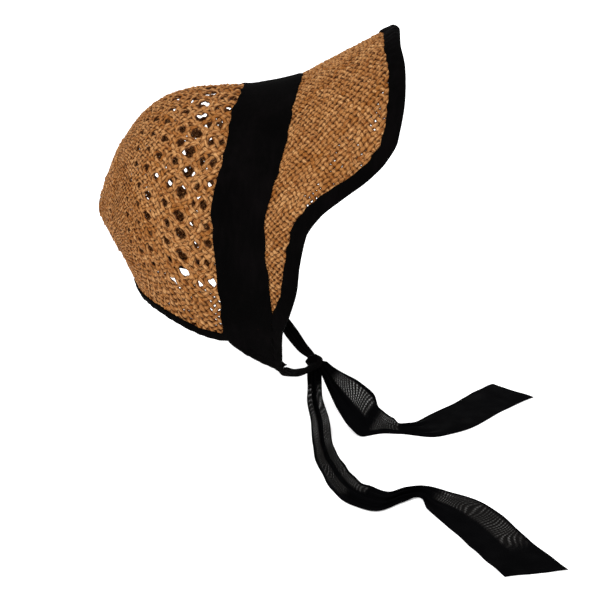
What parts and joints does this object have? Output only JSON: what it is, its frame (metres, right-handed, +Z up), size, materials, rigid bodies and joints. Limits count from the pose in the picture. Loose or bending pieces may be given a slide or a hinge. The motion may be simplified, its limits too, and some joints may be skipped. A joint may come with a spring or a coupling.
{
  "type": "woven bonnet",
  "caption": "Straw bonnet with an openwork crown, a flared brim, a black cloth band, folded black bindings and a tied chin strap with two ribbon tails.",
  "frame": {"origin": "where the top of the wearer's head touches the inside of the crown", "axes": "+Z up along the wearer's head, the wearer looks along -Y and the wearer's left is +X"},
  "size_m": [0.3417, 0.3718, 0.342],
  "materials": {
    "straw": "matt woven straw",
    "black_cloth": "matt woven cloth",
    "sheer_ribbon": "sheer satin-edged ribbon"
  },
  "bodies": {
    "root": {"crown": "straw", "brim": "straw", "band": "black_cloth", "brim_binding": "black_cloth", "nape_binding": "black_cloth", "chin_strap_right": "black_cloth", "chin_strap_left": "black_cloth", "knot": "black_cloth", "tail_short": "sheer_ribbon", "tail_long": "sheer_ribbon"}
  },
  "joints": []
}
